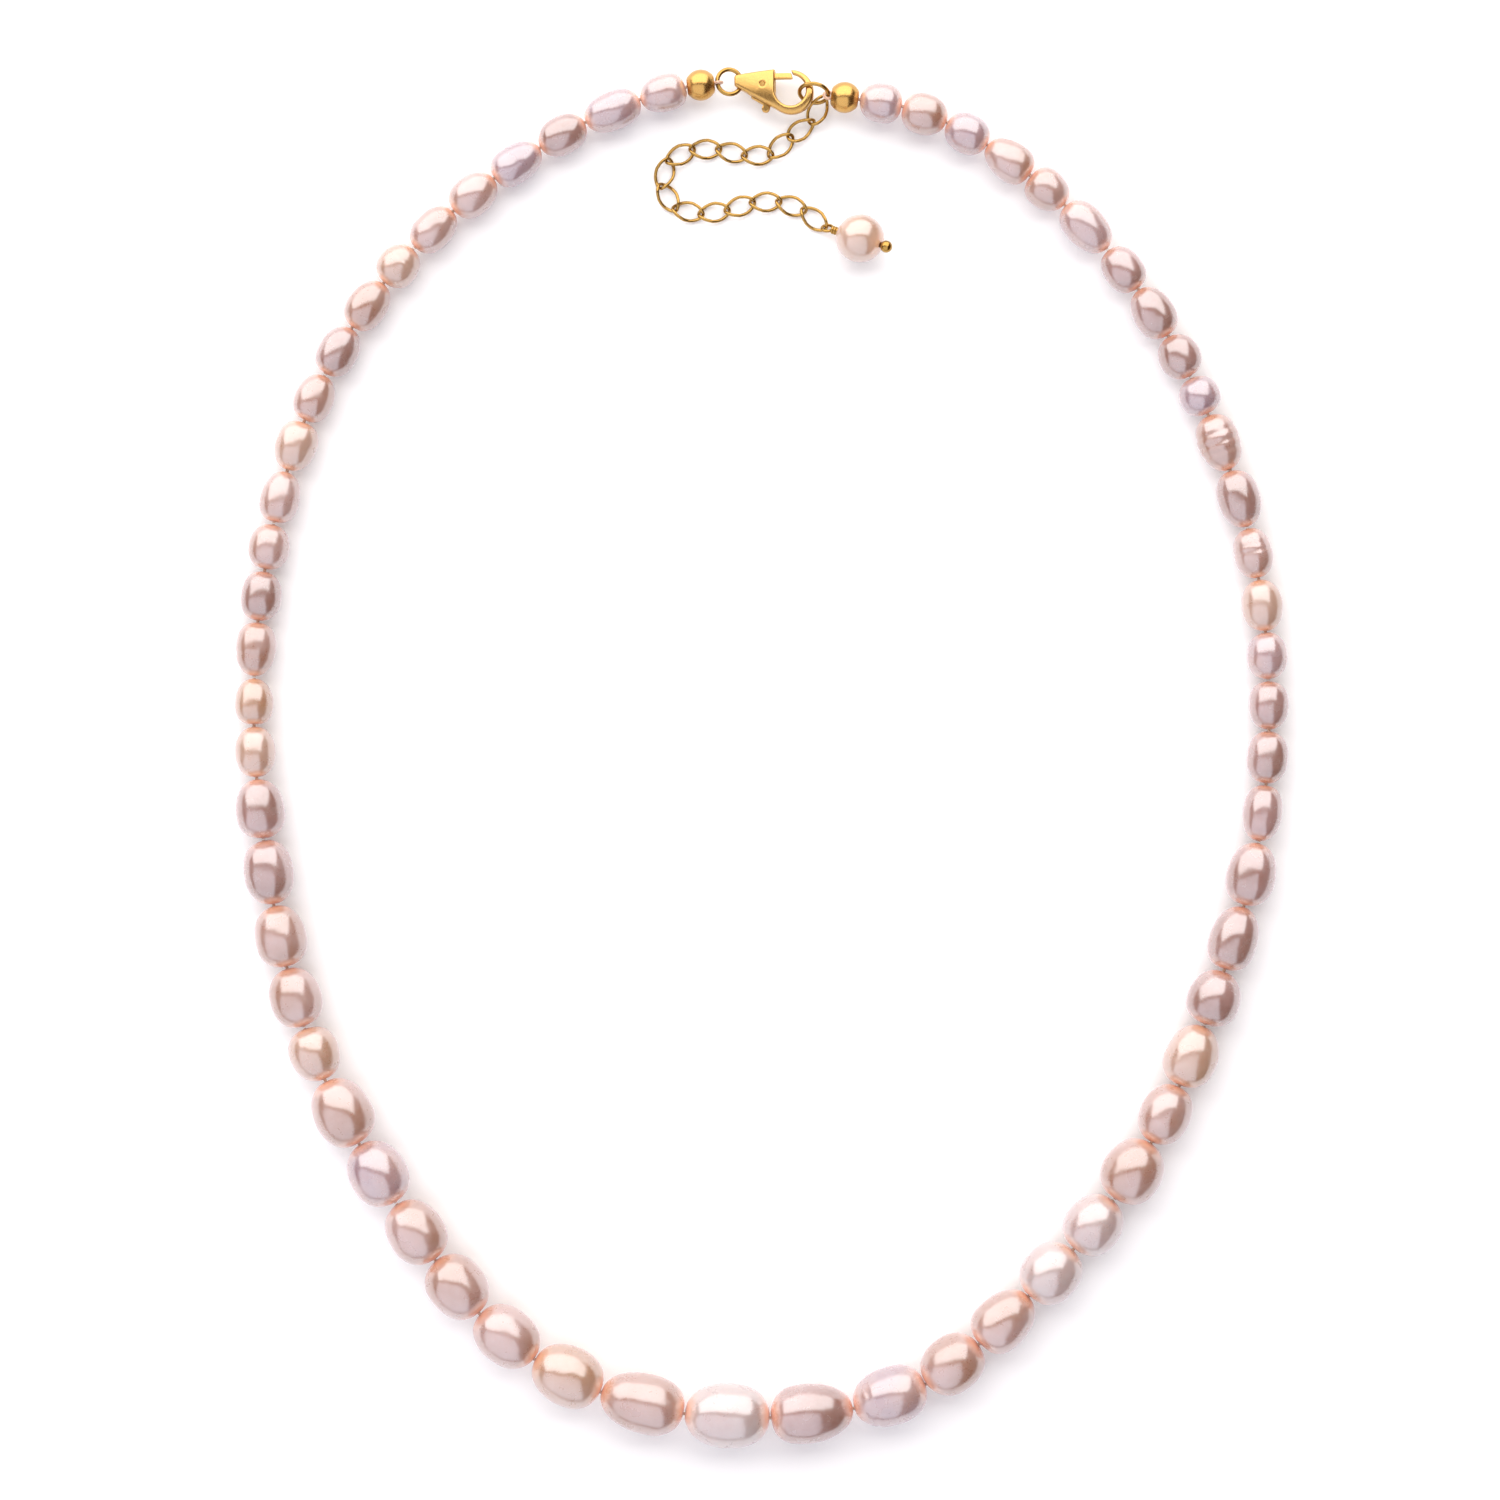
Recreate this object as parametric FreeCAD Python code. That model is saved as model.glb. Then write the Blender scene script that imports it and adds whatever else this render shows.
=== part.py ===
import FreeCAD, Part
import math
import os

# A fastened pearl necklace lying flat: a strand of sixty freshwater pearls graded from 5 mm at the
# back to 8 mm at the front, strung on one thread, closed by a lobster clasp, with an extender chain
# and a drop pearl. +Z is up, the table is z = 0, +Y points from the front pearl to the clasp.

Vector = FreeCAD.Vector
UP = Vector(0, 0, 1)
ORIGIN = Vector(0, 0, 0)

# ---------------------------------------------------------------- driving sizes, mm and degrees
PEARL_SCALE = 1.0           # one factor on every strand pearl
PEARL_GAP = 0.2             # air between neighbouring pearls
PEARL_HOLE_R = 0.35         # drilled hole
PEARL_FULLNESS = 2.25       # 2 is an ellipsoid, higher is more barrel-like
PEARL_LIP = 0.1             # width of the flat around the hole
THREAD_R = 0.2
THREAD_BEND_REACH = 0.12    # how far before and after a gap's middle the thread bends
THREAD_RELIEF = 0.08        # thread left out on each side of a bending point

COVER_R = 1.9               # crimp cover, the gold ball at each end of the strand
COVER_LENGTH = 3.4          # along the thread, flat to flat
COVER_WALL = 0.35
CRIMP_R = 0.85
CRIMP_LENGTH = 2.15
MOUTH_CLEARANCE = 0.05      # around the thread loop in the cover's mouth
END_HEIGHT = 2.5            # thread height at the covers

WIRE_CLEARANCE = 0.06       # between the thread loop and the ring wire inside it
RING_GAP = 0.1              # between a cover's mouth and its ring
JUMP_RING_R = 1.525         # centreline radius
JUMP_WIRE_R = 0.275
EXTENDER_RING_R = 1.78      # centreline radius
EXTENDER_WIRE_R = 0.25
EXTENDER_TILT = 58.0        # the ring leans, so its far side is up
RING_PLAY = 1.15            # how far the extender ring stands back inside the hook
RING_SPLIT = 1.5            # degrees of opening where the wire ends meet

EYE_HEIGHT = 1.8            # height of the clasp's eye
CLASP_LIFT = 6.0            # the hook end is held up by this slope
CLASP_TURN = 6.5            # the clasp's own axis from the line between the covers
CLASP_BODY_T = 2.3          # thickness at the widest part of the body
CLASP_HOOK_T = 1.35         # thickness of the hook
CLASP_EYE_T = 1.7           # thickness at the eye
EYE_CLEARANCE = 0.1
EYE_WALL = 0.45
HOOK_X, HOOK_Y = 6.2, -1.6  # centre of the hook's outer curve, from the eye
HOOK_OUTER_R = 2.75
MOUTH_X, MOUTH_Y = 6.1, -1.35
HOOK_INNER_R = 1.9
BODY_FACE_X = MOUTH_X - HOOK_INNER_R    # body's face towards the hook's opening
BODY_TOP = 1.25
BODY_UNDER_SLOPE = 30.0     # how steeply the body's lower edge runs down to the hook
LEVER_T = 0.8
LEVER_CLEARANCE = 0.06
LEVER_HUB_R = 0.85
PIN_X, PIN_Y = 2.7, -0.6
PIN_R = 0.3
PIN_CLEARANCE = 0.03
LEVER_TIP_R = 3.75          # reach of the lever's tip from its pin
TIP_GAP = 0.12
THUMB_R = 0.5
SPRING_WIRE_R = 0.09
SPRING_TURNS = 3
CLASP_EDGE_R = 0.3          # rounding of the clasp's polished edges

LINK_HALF = 1.92            # chain link: half length and half width of its wire's centreline
LINK_HALF_WIDTH = 1.1
LINK_TWIST = 45.0           # each end of a link is turned by this out of the link's middle plane
LINK_WIRE_R = 0.2
LINK_PLAY = 0.17            # slack between the wires of two linked links
CHAIN_HEIGHT = 0.62         # of the links that lie flat
LEANING_ROLLS = [-15.0, -24.0]  # the first links lean, since the ring holds them up
LEANING_HEIGHTS = [1.0, 0.8]    # height of the far end of each of them
HANG_PLAY = 0.36            # slack between the extender ring's wire and the first link's
HANG_ANGLE = 130.0          # where on the extender ring the chain hangs, from the hook's side
CHAIN_HEADINGS = [243, 215, 222, 181, 166, 180, 206, 254, 302, 348, 8, 18, 2, -19, -40]

DROP_R = 3.0                # drop pearl
DROP_HEADING = -21.0
DROP_HOLE_R = 0.27
DROP_GAP = 0.08             # between the drop pearl and the wrapped wire or the pin's head
HEAD_WIRE_R = 0.18          # the head pin's wire
HEAD_BALL_R = 0.75
HEAD_LOOP_R = 0.68
HEAD_LOOP_ROLL = -45.0
WRAP_TURNS = 3

# Centreline of the strand as it lies, from the front pearl clockwise round to it again.
GUIDE = [
    (1.1, -80.8), (-9.4, -80.3), (-19.4, -77.8), (-31, -71.4), (-44.5, -55), (-54.9, -36.4),
    (-60.6, -14), (-62.5, 7.5), (-60.4, 27.3), (-54.5, 45.8), (-44, 61.6), (-29.5, 73.9),
    (-14.6, 81.4), (-5.2, 83.3), (2, 82.9), (8.9, 81.7), (17.8, 80.3), (28.4, 75.3),
    (43.2, 62.1), (54.4, 43.8), (60.9, 24), (62.5, 8), (61.2, -10), (55.8, -29),
    (46, -50.2), (33.3, -65.5), (27, -71.6), (20.8, -76.4), (11.8, -79.6),
]

# The pearls in stringing order from the front, in groups that bend against each other:
# pitch along the thread, diameter, and where the widest point lies along the pearl.
LEFT_STRING = [
    [(10.6, 8.0, 0.48), (10.6, 7.4, 0.43), (9.1, 7.5, 0.47),
     (8.8, 7.1, 0.50), (8.5, 7.2, 0.51), (8.5, 7.1, 0.47)],
    [(8.6, 7.2, 0.47), (8.8, 7.3, 0.45), (7.0, 6.2, 0.54)],
    [(7.7, 6.4, 0.47), (7.8, 6.4, 0.46), (8.2, 6.2, 0.51)],
    [(7.6, 6.1, 0.44), (6.4, 5.0, 0.48), (6.0, 4.8, 0.42)],
    [(6.9, 5.0, 0.54), (6.3, 5.1, 0.49), (5.9, 5.1, 0.48)],
    [(6.7, 4.9, 0.44), (6.4, 5.2, 0.54), (6.3, 4.9, 0.46)],
    [(6.7, 5.0, 0.45), (6.7, 5.0, 0.45), (5.7, 5.2, 0.47)],
    [(6.7, 4.8, 0.47), (6.4, 5.1, 0.45), (6.8, 4.8, 0.41),
     (6.4, 4.8, 0.49), (7.3, 4.9, 0.53), (5.9, 4.7, 0.58)],
]
RIGHT_STRING = [
    [(10.3, 7.4, 0.41), (9.4, 7.3, 0.53), (8.2, 7.2, 0.50),
     (8.5, 6.8, 0.42), (7.9, 7.3, 0.47), (7.9, 7.1, 0.47)],
    [(8.4, 7.5, 0.46), (7.7, 6.3, 0.48), (8.1, 6.6, 0.44)],
    [(7.2, 6.6, 0.43), (8.2, 6.0, 0.43), (8.1, 6.1, 0.46)],
    [(7.2, 4.9, 0.52), (6.6, 5.1, 0.49), (6.2, 5.0, 0.53)],
    [(6.0, 5.0, 0.50), (6.5, 5.1, 0.49), (6.5, 4.8, 0.50)],
    [(7.4, 5.3, 0.51), (7.3, 5.3, 0.54), (5.1, 5.1, 0.49)],
    [(5.8, 5.2, 0.49), (6.8, 5.2, 0.45), (6.2, 5.0, 0.46)],
    [(7.6, 5.1, 0.55), (5.6, 5.1, 0.57), (6.5, 4.9, 0.41),
     (5.7, 5.0, 0.48), (5.8, 5.2, 0.54), (5.4, 5.0, 0.45)],
]


# ---------------------------------------------------------------- small helpers
def turned(vector, angle_deg, axis=UP):
    """The vector turned about an axis through the origin."""
    return FreeCAD.Rotation(axis, angle_deg).multVec(vector)


def heading(angle_deg):
    """A unit vector in the table's plane."""
    return turned(Vector(1, 0, 0), angle_deg)


def frame_at(place, along, roll_deg=0.0):
    """A placement at a point with X along a direction and Z as near up as it can be."""
    x_axis = Vector(along).normalize()
    y_axis = UP.cross(x_axis).normalize()
    z_axis = x_axis.cross(y_axis)
    level = FreeCAD.Rotation(x_axis, y_axis, z_axis, "ZXY")
    return FreeCAD.Placement(place, level * FreeCAD.Rotation(Vector(1, 0, 0), roll_deg))


def rod(start, end, radius):
    return Part.makeCylinder(radius, (end - start).Length, start, end - start)


def wire_ring(ring_r, wire_r, split_deg=0.0):
    """A ring of round wire about Z, with its ends apart by the split on the -Y side."""
    section = Part.Face(Part.Wire(Part.makeCircle(wire_r, Vector(ring_r, 0, 0), Vector(0, 1, 0))))
    ring = section.revolve(ORIGIN, UP, 360 - split_deg)
    return ring.rotated(ORIGIN, UP, split_deg / 2 - 90)


def fused(solids):
    """One solid from overlapping ones."""
    whole = solids[0].multiFuse(solids[1:])
    return whole.removeSplitter()


# ---------------------------------------------------------------- where the strand lies
def pearl_pitches(string):
    return [pitch * PEARL_SCALE for group in string for pitch, _, _ in group]


def pearl_radii(string):
    return [diameter * PEARL_SCALE / 2 for group in string for _, diameter, _ in group]


def running_total(lengths):
    totals = [0]
    for length in lengths:
        totals.append(totals[-1] + length)
    return totals


def clasp_span():
    """Straight distance between the two covers' mouths, with the hook round the extender ring."""
    to_eye = RING_GAP + JUMP_WIRE_R + 2 * JUMP_RING_R
    to_hook = MOUTH_X + HOOK_INNER_R
    ring_width = 2 * (EXTENDER_RING_R + EXTENDER_WIRE_R)
    return to_eye + to_hook - RING_PLAY + ring_width + RING_GAP


def closed_guide():
    curve = Part.BSplineCurve()
    curve.interpolate(Points=[Vector(x, y, 0) for x, y in GUIDE], PeriodicFlag=True)
    return curve


def point_along(curve, distance):
    return curve.value(curve.parameterAtDistance(distance, curve.FirstParameter))


def strand_plan():
    """Plan positions of the gaps on both sides, on the guide sized so that the loop just closes."""
    curve = closed_guide()
    round_trip = curve.length()
    left = running_total(pearl_pitches(LEFT_STRING) + [COVER_LENGTH + PEARL_GAP / 2])
    right = running_total(pearl_pitches(RIGHT_STRING) + [COVER_LENGTH + PEARL_GAP / 2])

    def opening(size):
        left_end = point_along(curve, left[-1] / size)
        right_end = point_along(curve, round_trip - right[-1] / size)
        return (left_end - right_end).Length * size

    smallest = (left[-1] + right[-1]) / round_trip
    largest = smallest * 1.5
    for _ in range(50):
        size = (smallest + largest) / 2
        if opening(size) < clasp_span():
            smallest = size
        else:
            largest = size
    left_points = [point_along(curve, distance / size) * size for distance in left]
    right_points = [point_along(curve, (round_trip - distance / size) % round_trip) * size
                    for distance in right]
    return left_points, right_points


def gap_heights(string, fold_heights):
    """Thread height at each gap: the larger neighbour's radius, shared by both sides at a fold."""
    radii = pearl_radii(string)
    before = [radii[0]] + radii
    after = radii + [radii[-1]]
    heights = [max(pair) for pair in zip(before, after)]
    for index, height in fold_heights.items():
        heights[index] = height
    return heights + [END_HEIGHT]


def fold_indices(string):
    """The gap numbers, counted from the front, where one group ends and the next begins."""
    return running_total([len(group) for group in string])[1:-1]


def fold_levels():
    """Shared thread height at each pair of bending points."""
    left = pearl_radii(LEFT_STRING)
    right = pearl_radii(RIGHT_STRING)
    levels = []
    for a, b in zip(fold_indices(LEFT_STRING), fold_indices(RIGHT_STRING)):
        levels.append(max(left[a - 1], left[a], right[b - 1], right[b]))
    return levels


def strand_points():
    """The thread's gap points on the left and on the right, from the front pearl to the mouth."""
    sides = []
    for string, plan in zip((LEFT_STRING, RIGHT_STRING), strand_plan()):
        shared = dict(zip(fold_indices(string), fold_levels()))
        heights = gap_heights(string, shared)
        heights[0] = max(pearl_radii(LEFT_STRING)[0], pearl_radii(RIGHT_STRING)[0])
        heights[-2] = max(pearl_radii(string)[-1], END_HEIGHT)
        sides.append([Vector(p.x, p.y, z) for p, z in zip(plan, heights)])
    return sides


def centred(sides):
    """Both sides moved together so that the strand's box is centred on the origin."""
    xs = [p.x + way * p.z for side in sides for p in side for way in (-1, 1)]
    low = min(p.y - p.z for side in sides for p in side)
    high = max(side[-1].y for side in sides) + COVER_R
    middle = Vector((min(xs) + max(xs)) / 2, (low + high) / 2, 0)
    return [[p - middle for p in side] for side in sides]


LEFT_POINTS, RIGHT_POINTS = centred(strand_points())


# ---------------------------------------------------------------- strand
def fullness(share):
    """The other coordinate of a point on the pearl's rounded profile, both as shares of its half."""
    return (1 - abs(share) ** PEARL_FULLNESS) ** (1 / PEARL_FULLNESS)


def pearl(start, end, diameter, widest):
    """A drilled pearl between two gap points, round about the thread and wider towards one end."""
    along = end - start
    half = (along.Length - PEARL_GAP) / 2
    skew = 2 * widest - 1
    last = fullness((PEARL_HOLE_R + PEARL_LIP) / (diameter / 2))
    outline = []
    for step in (-last, -0.95, -0.85, -0.6, 0.0, 0.6, 0.85, 0.95, last):
        reach = step / last
        outline.append(Vector(half * (reach + skew * (1 - reach * reach)),
                              diameter / 2 * fullness(step), 0))
    curve = Part.BSplineCurve()
    curve.interpolate(outline)
    back, front = Vector(-half, PEARL_HOLE_R, 0), Vector(half, PEARL_HOLE_R, 0)
    edges = [Part.makeLine(back, outline[0]), curve.toShape(),
             Part.makeLine(outline[-1], front), Part.makeLine(front, back)]
    drilled = Part.Face(Part.Wire(edges)).revolve(ORIGIN, Vector(1, 0, 0), 360)
    drilled.Placement = frame_at((start + end) / 2, along)
    return drilled


def thread(points):
    """Thread through a run of gap points: straight through the pearls, bent only in the gaps."""
    edges = []
    start = points[0]
    for before, place, after in zip(points, points[1:], points[2:]):
        back = (before - place).normalize() * THREAD_BEND_REACH
        ahead = (after - place).normalize() * THREAD_BEND_REACH
        half_angle = back.getAngle(ahead) / 2
        share = (1 - math.sin(half_angle)) / math.cos(half_angle)
        inside = (back + ahead).normalize() * (THREAD_BEND_REACH * share)
        edges.append(Part.makeLine(start, place + back))
        edges.append(Part.Arc(place + back, place + inside, place + ahead).toShape())
        start = place + ahead
    edges.append(Part.makeLine(start, points[-1]))
    section = Part.makeCircle(THREAD_R, points[0], points[1] - points[0])
    return Part.Wire(edges).makePipe(Part.Face(Part.Wire(section)))


def drawn_back(points, at_start, at_end):
    """The same run of points with the thread's free ends drawn back from the bending points."""
    run = list(points)
    if at_start:
        run[0] = run[0] + (run[1] - run[0]).normalize() * THREAD_RELIEF
    if at_end:
        run[-1] = run[-1] + (run[-2] - run[-1]).normalize() * THREAD_RELIEF
    return run


def group_pearls(group, points):
    return [pearl(a, b, diameter * PEARL_SCALE, widest)
            for (_, diameter, widest), a, b in zip(group, points, points[1:])]


def front_nodes():
    """The front arc: the first groups of both sides on one length of thread."""
    left_run = LEFT_POINTS[:len(LEFT_STRING[0]) + 1]
    right_run = RIGHT_POINTS[:len(RIGHT_STRING[0]) + 1]
    pearls = group_pearls(LEFT_STRING[0], left_run) + group_pearls(RIGHT_STRING[0], right_run)
    run = left_run[::-1] + right_run[1:]
    return {
        "pearls_front": Part.makeCompound(pearls),
        "thread_front": thread(drawn_back(run, True, True)),
    }


def side_nodes(side, string, points):
    """The other groups of one side, numbered from the front to the clasp."""
    nodes = {}
    for number, (group, first) in enumerate(zip(string[1:], fold_indices(string)), start=1):
        run = points[first:first + len(group) + 1]
        nodes[f"pearls_{side}_{number}"] = Part.makeCompound(group_pearls(group, run))
        is_last = number == len(string) - 1
        if is_last:
            nodes[f"thread_{side}_{number}"] = end_thread(points, first)
        else:
            nodes[f"thread_{side}_{number}"] = thread(drawn_back(run, True, True))
    return nodes


# ---------------------------------------------------------------- strand ends
def mouth(points):
    """A cover's mouth and the direction out of it."""
    return points[-1], (points[-1] - points[-2]).normalize()


def ring_wire_r(points):
    return JUMP_WIRE_R if points is LEFT_POINTS else EXTENDER_WIRE_R


def loop_r(points):
    """Centreline radius of the thread's loop round its ring's wire."""
    return ring_wire_r(points) + WIRE_CLEARANCE + THREAD_R


def ring_hold(points):
    """Where the thread's loop holds the ring's wire."""
    place, out = mouth(points)
    return place + out * (RING_GAP + ring_wire_r(points))


def ring_grain(points):
    """Direction of the ring's wire where the thread's loop holds it."""
    _, out = mouth(points)
    across = UP.cross(out).normalize()
    if points is LEFT_POINTS:
        return across
    return turned(across, -EXTENDER_TILT, out)


def end_thread(points, first):
    """Thread of the last group: through the crimp and back in a loop round the ring's wire."""
    hold = ring_hold(points)
    _, out = mouth(points)
    loop = wire_ring(loop_r(points), THREAD_R)
    grain = FreeCAD.Rotation(UP, ring_grain(points))
    loop.Placement = FreeCAD.Placement(hold, grain)
    stem_end = hold - out * loop_r(points)
    run = drawn_back(points[first:-1], True, False) + [stem_end]
    return fused([thread(run), loop])


def cover(points):
    """Crimp cover: a hollow ball with flat ends, a small hole and a wider mouth for the loop."""
    mouth_r = loop_r(points) + THREAD_R + MOUTH_CLEARANCE
    inlet_r = THREAD_R + MOUTH_CLEARANCE + PEARL_GAP
    ball = Part.makeSphere(COVER_R)
    slab = Part.makeBox(COVER_LENGTH, 2 * COVER_R, 2 * COVER_R,
                        Vector(-COVER_LENGTH / 2, -COVER_R, -COVER_R))
    ball = ball.common(slab).cut(Part.makeSphere(COVER_R - COVER_WALL))
    ball = ball.cut(rod(ORIGIN, Vector(COVER_LENGTH, 0, 0), mouth_r))
    ball = ball.cut(rod(Vector(-COVER_LENGTH, 0, 0), ORIGIN, inlet_r))
    place, out = mouth(points)
    ball.Placement = frame_at(place - out * (COVER_LENGTH / 2), out)
    return ball


def crimp(points):
    """Crimp tube on the thread, inside the cover."""
    place, out = mouth(points)
    middle = place - out * (COVER_LENGTH / 2)
    start = middle - out * (CRIMP_LENGTH / 2) - out * THREAD_R
    end = start + out * CRIMP_LENGTH
    return rod(start, end, CRIMP_R).cut(rod(start - out, end + out, THREAD_R))


def jump_ring():
    """The clasp's jump ring, from the left cover's mouth to the clasp's eye."""
    ring = wire_ring(JUMP_RING_R, JUMP_WIRE_R, RING_SPLIT)
    ring.Placement = jump_ring_frame()
    return ring


def jump_ring_frame():
    start = ring_hold(LEFT_POINTS)
    _, out = mouth(LEFT_POINTS)
    level = Vector(out.x, out.y, 0).normalize()
    drop = EYE_HEIGHT - start.z
    along = level * math.sqrt((2 * JUMP_RING_R) ** 2 - drop ** 2) + UP * drop
    return frame_at(start + along / 2, along)


def extender_ring_frame():
    start = ring_hold(RIGHT_POINTS)
    _, out = mouth(RIGHT_POINTS)
    return frame_at(start + out * EXTENDER_RING_R, out, -EXTENDER_TILT)


def extender_ring():
    """The ring at the right end, which the hook takes and the extender chain hangs from."""
    ring = wire_ring(EXTENDER_RING_R, EXTENDER_WIRE_R, RING_SPLIT)
    ring.rotate(ORIGIN, UP, 60)
    ring.Placement = extender_ring_frame().multiply(ring.Placement)
    return ring


# ---------------------------------------------------------------- clasp
def clasp_frame():
    """The clasp's frame: origin at the eye where the jump ring passes, X towards the hook."""
    ring = jump_ring_frame()
    eye = ring.multVec(Vector(JUMP_RING_R, 0, 0))
    across = RIGHT_POINTS[-1] - LEFT_POINTS[-1]
    level = turned(Vector(across.x, across.y, 0), CLASP_TURN)
    return frame_at(eye, turned(level, -CLASP_LIFT, UP.cross(level)))


def prism(points, thickness):
    """A straight-sided plate about the middle plane z = 0."""
    corners = [Vector(x, y, -thickness / 2) for x, y in points]
    return Part.Face(Part.makePolygon(corners + corners[:1])).extrude(UP * thickness)


def disc(x, y, radius, thickness):
    return Part.makeCylinder(radius, thickness, Vector(x, y, -thickness / 2), UP)


def under_edge(x, outside=0.0):
    """Height of the body's lower edge, or of a line outside it, where it runs into the hook."""
    slope = math.radians(BODY_UNDER_SLOPE)
    touch_x = HOOK_X - HOOK_OUTER_R * math.sin(slope)
    touch_y = HOOK_Y - HOOK_OUTER_R * math.cos(slope)
    return touch_y + (touch_x - x) * math.tan(slope) - outside / math.cos(slope)


def clasp_thickness():
    """A blank as wide as the clasp, thick at the body and thinner at the eye and the hook."""
    left_x = -JUMP_WIRE_R - EYE_WALL - 2
    right_x = HOOK_X + HOOK_OUTER_R + 1
    profile = [(left_x, CLASP_EYE_T), (0.3, CLASP_EYE_T + 0.2), (PIN_X, CLASP_BODY_T),
               (BODY_FACE_X, CLASP_BODY_T - 0.3), (HOOK_X, CLASP_HOOK_T),
               (HOOK_X + HOOK_OUTER_R / 2, CLASP_HOOK_T), (right_x, CLASP_HOOK_T)]
    low_y = HOOK_Y - HOOK_OUTER_R - 1
    top = [Vector(x, low_y, t / 2) for x, t in profile]
    bottom = [Vector(x, low_y, -t / 2) for x, t in profile]
    upper, lower = Part.BSplineCurve(), Part.BSplineCurve()
    upper.interpolate(top)
    lower.interpolate(bottom)
    wire = Part.Wire([upper.toShape(), Part.makeLine(top[-1], bottom[-1]), lower.toShape(),
                      Part.makeLine(bottom[0], top[0])])
    return Part.Face(wire).extrude(Vector(0, 2 * HOOK_OUTER_R + 5, 0))


def eye_hole():
    """Curved hole across the clasp that the jump ring runs through, in the clasp's frame."""
    ring = wire_ring(JUMP_RING_R, JUMP_WIRE_R + EYE_CLEARANCE)
    ring.Placement = clasp_frame().inverse().multiply(jump_ring_frame())
    return ring


def lever_slot():
    """Slot through the body's middle, open at the hook's mouth and along the lower edge."""
    back_x = JUMP_WIRE_R + EYE_CLEARANCE + EYE_WALL
    roof = BODY_TOP - EYE_WALL + LEVER_CLEARANCE
    front_x = PIN_X + LEVER_HUB_R + LEVER_CLEARANCE
    points = [(back_x, under_edge(back_x, 1)), (back_x, PIN_Y), (PIN_X - LEVER_HUB_R, roof),
              (BODY_FACE_X + 1, roof), (BODY_FACE_X + 1, PIN_Y - LEVER_HUB_R),
              (front_x, PIN_Y - LEVER_HUB_R), (front_x, under_edge(front_x, 1))]
    return prism(points, LEVER_T + 2 * LEVER_CLEARANCE)


def clasp_body():
    tall = 2 * CLASP_BODY_T
    tip_x = -JUMP_WIRE_R - EYE_CLEARANCE - EYE_WALL
    touch_x = HOOK_X - HOOK_OUTER_R * math.sin(math.radians(BODY_UNDER_SLOPE))
    plate = prism([(tip_x, under_edge(tip_x)), (tip_x, BODY_TOP / 2), (BODY_FACE_X, BODY_TOP),
                   (BODY_FACE_X, MOUTH_Y), (MOUTH_X, MOUTH_Y), (touch_x, under_edge(touch_x))],
                  tall)
    hook = disc(HOOK_X, HOOK_Y, HOOK_OUTER_R, tall)
    above = Part.makeBox(BODY_FACE_X, HOOK_OUTER_R * 2, tall,
                         Vector(0, MOUTH_Y, -tall / 2))
    hook = hook.cut(above)
    outline = plate.fuse(hook).cut(disc(MOUTH_X, MOUTH_Y, HOOK_INNER_R, tall))
    swing = disc(PIN_X, PIN_Y, LEVER_TIP_R + TIP_GAP, tall)
    opening = Part.makeBox(HOOK_X, HOOK_OUTER_R * 2, tall, Vector(BODY_FACE_X, MOUTH_Y, -tall / 2))
    outline = outline.cut(swing.common(opening)).removeSplitter()
    eye_corners = [edge for edge in outline.Edges
                   if edge.BoundBox.ZLength > tall / 2 and edge.BoundBox.XMin < 0]
    outline = outline.makeFillet(CLASP_EDGE_R, eye_corners)
    body = outline.common(clasp_thickness())
    rims = [edge for edge in body.Edges
            if abs(edge.CenterOfMass.z) > CLASP_HOOK_T / 4]
    body = body.makeFillet(CLASP_EDGE_R, rims)
    body = body.cut(eye_hole()).cut(lever_slot())
    return body.cut(disc(PIN_X, PIN_Y, PIN_R, tall))


def clasp_lever():
    """Lever: gate arm across the mouth, hub on the pin, and thumb tab under the lower edge."""
    gate_top = BODY_TOP - EYE_WALL
    gate_bottom = gate_top - LEVER_T
    tail_x = JUMP_WIRE_R + EYE_CLEARANCE + EYE_WALL + LEVER_T / 2
    hub_x = PIN_X + LEVER_HUB_R
    out = 0.3
    points = [(PIN_X - LEVER_HUB_R, PIN_Y), (tail_x, under_edge(tail_x, -0.35)),
              (tail_x, under_edge(tail_x, out)), (hub_x, under_edge(hub_x, out)),
              (hub_x, gate_bottom), (MOUTH_X + 1, gate_bottom), (MOUTH_X + 1, gate_top),
              (PIN_X + 0.4, gate_top)]
    reach = disc(PIN_X, PIN_Y, LEVER_TIP_R, LEVER_T)
    lever = prism(points, LEVER_T).common(reach)
    thumb_x = PIN_X + 0.3
    lever = lever.fuse(disc(PIN_X, PIN_Y, LEVER_HUB_R, LEVER_T))
    lever = lever.fuse(disc(thumb_x, under_edge(thumb_x, 0.55), THUMB_R, LEVER_T))
    lever = lever.removeSplitter()
    recess = Part.makeCylinder(spring_outer_r() + LEVER_CLEARANCE, LEVER_T,
                               Vector(PIN_X, PIN_Y, -SPRING_WIRE_R), UP)
    return lever.cut(recess).cut(disc(PIN_X, PIN_Y, PIN_R + PIN_CLEARANCE, 2 * LEVER_T))


def spring_outer_r():
    return PIN_R + LEVER_CLEARANCE + 2 * SPRING_WIRE_R


def clasp_spring():
    """Close-wound torsion coil round the pin, in the lever's recess."""
    coil_r = PIN_R + LEVER_CLEARANCE + SPRING_WIRE_R
    turn_pitch = 1.8 * SPRING_WIRE_R
    turns = []
    for number in range(SPRING_TURNS):
        turn = wire_ring(coil_r, SPRING_WIRE_R)
        turn.translate(Vector(PIN_X, PIN_Y, LEVER_CLEARANCE / 2 + number * turn_pitch))
        turns.append(turn)
    return fused(turns)


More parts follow.
